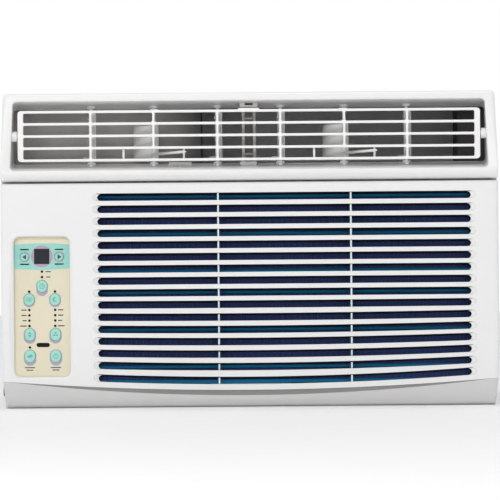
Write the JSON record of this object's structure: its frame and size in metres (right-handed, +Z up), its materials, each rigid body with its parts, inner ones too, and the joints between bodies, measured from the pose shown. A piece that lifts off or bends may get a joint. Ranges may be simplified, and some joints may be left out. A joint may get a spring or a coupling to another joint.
{
  "type": "window air conditioner",
  "caption": "White window air conditioner with a tilting louvre grid, levered air vanes, slotted drop-down intake grille and push-button control panel.",
  "frame": {"origin": "middle of the underside", "axes": "+Z up, -Y towards the room and the controls, +X to the right seen from the room"},
  "size_m": [0.474, 0.39, 0.3],
  "materials": {
    "frame_white": "fine satin moulding",
    "grille_white": "fine satin moulding",
    "louver_white": "satin",
    "vane_white": "satin",
    "foam": "expanded foam beads",
    "scroll_grey": "expanded foam, dark",
    "post_grey": "satin",
    "filter_blue": "satin",
    "filter_net": "fine woven net",
    "fascia_beige": "satin film",
    "display": "smoked, glossy",
    "lamp_black": "glossy",
    "button_mint": "soft satin",
    "box_plastic": "satin",
    "board": "lacquered",
    "capacitor_can": "drawn can",
    "cabinet_steel": "fine textured powder coat",
    "pan_steel": "satin coat",
    "zinc": "zinc plated",
    "rubber": "matte",
    "fin_blue": "blue hydrophilic coat",
    "fin_bare": "mill finish",
    "copper": "drawn copper tube",
    "fan_plastic": "moulded",
    "motor_paint": "satin",
    "compressor_paint": "gloss black"
  },
  "bodies": {
    "chassis": {"front_frame": "frame_white", "outlet_duct": "foam", "duct_post": "post_grey", "sill_clips": "vane_white", "control_fascia": "fascia_beige", "display_window": "display", "indicator_leds": "lamp_black", "receiver_window": "lamp_black", "control_box": "box_plastic", "control_board": "board", "run_capacitor": "capacitor_can", "cabinet_wrap": "cabinet_steel", "base_pan": "pan_steel", "rear_guard": "cabinet_steel", "cabinet_screws": "zinc", "front_screws": "zinc", "cord_gland": "rubber", "drain_tray": "foam", "evaporator_fins": "fin_blue", "evaporator_tubes": "copper", "scroll_housing": "scroll_grey", "bulkhead": "cabinet_steel", "fan_motor": "motor_paint", "motor_bracket": "cabinet_steel", "fan_shroud": "fan_plastic", "condenser_fins": "fin_bare", "condenser_tubes": "copper", "compressor": "compressor_paint", "compressor_feet": "rubber", "compressor_bolts": "zinc", "accumulator": "compressor_paint", "discharge_tube": "copper", "suction_tube": "copper", "capillary_tube": "copper"},
    "louver": {"louver_grid": "louver_white", "louver_bars": "louver_white"},
    "vane_left_outer_body": {"vane_left_outer": "vane_white"},
    "vane_left_lever_body": {"vane_left_lever": "vane_white"},
    "vane_left_inner_body": {"vane_left_inner": "vane_white"},
    "link_left_body": {"link_left": "vane_white"},
    "vane_right_inner_body": {"vane_right_inner": "vane_white"},
    "vane_right_lever_body": {"vane_right_lever": "vane_white"},
    "vane_right_outer_body": {"vane_right_outer": "vane_white"},
    "link_right_body": {"link_right": "vane_white"},
    "button_temp_down_body": {"button_temp_down": "button_mint"},
    "button_temp_up_body": {"button_temp_up": "button_mint"},
    "button_timer_body": {"button_timer": "button_mint"},
    "button_filter_body": {"button_filter": "button_mint"},
    "button_sleep_body": {"button_sleep": "button_mint"},
    "button_mode_body": {"button_mode": "button_mint"},
    "button_fan_body": {"button_fan": "button_mint"},
    "button_saver_body": {"button_saver": "button_mint"},
    "button_power_body": {"button_power": "button_mint"},
    "grille": {"intake_grille": "grille_white", "filter_frame": "filter_blue", "filter_mesh": "filter_net"},
    "rotor": {"motor_shaft": "zinc", "blower_wheel": "fan_plastic", "condenser_fan": "fan_plastic"}
  },
  "joints": [
    {"name": "louver_tilt", "type": "hinge", "parent": "chassis", "child": "louver", "pos_m": [0, -0.178, 0.2594], "axis": [1, 0, 0], "range_deg": [-20, 20]},
    {"name": "vane_left_lever_swing", "type": "hinge", "parent": "chassis", "child": "vane_left_lever_body", "pos_m": [-0.091, -0.1586, 0.26], "axis": [0, 0, -1], "range_deg": [0, 90]},
    {"name": "vane_left_outer_swing", "type": "hinge", "parent": "chassis", "child": "vane_left_outer_body", "pos_m": [-0.151, -0.1586, 0.26], "axis": [0, 0, -1], "range_deg": [0, 90]},
    {"name": "vane_left_inner_swing", "type": "hinge", "parent": "chassis", "child": "vane_left_inner_body", "pos_m": [-0.03, -0.1586, 0.26], "axis": [0, 0, -1], "range_deg": [0, 90]},
    {"name": "link_left_pin", "type": "hinge", "parent": "vane_left_lever_body", "child": "link_left_body", "pos_m": [-0.09736, -0.15224, 0.2362], "axis": [0, 0, -1], "range_deg": [-90, 0]},
    {"name": "vane_right_lever_swing", "type": "hinge", "parent": "chassis", "child": "vane_right_lever_body", "pos_m": [0.091, -0.1586, 0.26], "axis": [0, 0, -1], "range_deg": [0, 90]},
    {"name": "vane_right_outer_swing", "type": "hinge", "parent": "chassis", "child": "vane_right_outer_body", "pos_m": [0.151, -0.1586, 0.26], "axis": [0, 0, -1], "range_deg": [0, 90]},
    {"name": "vane_right_inner_swing", "type": "hinge", "parent": "chassis", "child": "vane_right_inner_body", "pos_m": [0.03, -0.1586, 0.26], "axis": [0, 0, -1], "range_deg": [0, 90]},
    {"name": "link_right_pin", "type": "hinge", "parent": "vane_right_lever_body", "child": "link_right_body", "pos_m": [0.08464, -0.15224, 0.2362], "axis": [0, 0, -1], "range_deg": [-90, 0]},
    {"name": "grille_open", "type": "hinge", "parent": "chassis", "child": "grille", "pos_m": [0, -0.1735, 0.0105], "axis": [1, 0, 0], "range_deg": [0, 40]},
    {"name": "rotor_spin", "type": "hinge", "parent": "chassis", "child": "rotor", "pos_m": [0.033, 0, 0.13], "axis": [0, 1, 0], "continuous": true},
    {"name": "button_temp_down_press", "type": "slide", "parent": "chassis", "child": "button_temp_down_body", "axis": [0, 1, 0], "range_m": [0, 0.001], "stiffness_N_per_m": 200, "springref_m": -0.002},
    {"name": "button_temp_up_press", "type": "slide", "parent": "chassis", "child": "button_temp_up_body", "axis": [0, 1, 0], "range_m": [0, 0.001], "stiffness_N_per_m": 200, "springref_m": -0.002},
    {"name": "button_timer_press", "type": "slide", "parent": "chassis", "child": "button_timer_body", "axis": [0, 1, 0], "range_m": [0, 0.001], "stiffness_N_per_m": 200, "springref_m": -0.002},
    {"name": "button_filter_press", "type": "slide", "parent": "chassis", "child": "button_filter_body", "axis": [0, 1, 0], "range_m": [0, 0.001], "stiffness_N_per_m": 200, "springref_m": -0.002},
    {"name": "button_sleep_press", "type": "slide", "parent": "chassis", "child": "button_sleep_body", "axis": [0, 1, 0], "range_m": [0, 0.001], "stiffness_N_per_m": 200, "springref_m": -0.002},
    {"name": "button_mode_press", "type": "slide", "parent": "chassis", "child": "button_mode_body", "axis": [0, 1, 0], "range_m": [0, 0.001], "stiffness_N_per_m": 200, "springref_m": -0.002},
    {"name": "button_fan_press", "type": "slide", "parent": "chassis", "child": "button_fan_body", "axis": [0, 1, 0], "range_m": [0, 0.001], "stiffness_N_per_m": 200, "springref_m": -0.002},
    {"name": "button_saver_press", "type": "slide", "parent": "chassis", "child": "button_saver_body", "axis": [0, 1, 0], "range_m": [0, 0.001], "stiffness_N_per_m": 200, "springref_m": -0.002},
    {"name": "button_power_press", "type": "slide", "parent": "chassis", "child": "button_power_body", "axis": [0, 1, 0], "range_m": [0, 0.001], "stiffness_N_per_m": 200, "springref_m": -0.002}
  ],
  "couplings": [
    {"joint": "vane_left_outer_swing", "follows": "vane_left_lever_swing", "ratio": 1},
    {"joint": "vane_left_inner_swing", "follows": "vane_left_lever_swing", "ratio": 1},
    {"joint": "link_left_pin", "follows": "vane_left_lever_swing", "ratio": -1},
    {"joint": "vane_right_outer_swing", "follows": "vane_right_lever_swing", "ratio": 1},
    {"joint": "vane_right_inner_swing", "follows": "vane_right_lever_swing", "ratio": 1},
    {"joint": "link_right_pin", "follows": "vane_right_lever_swing", "ratio": -1}
  ]
}
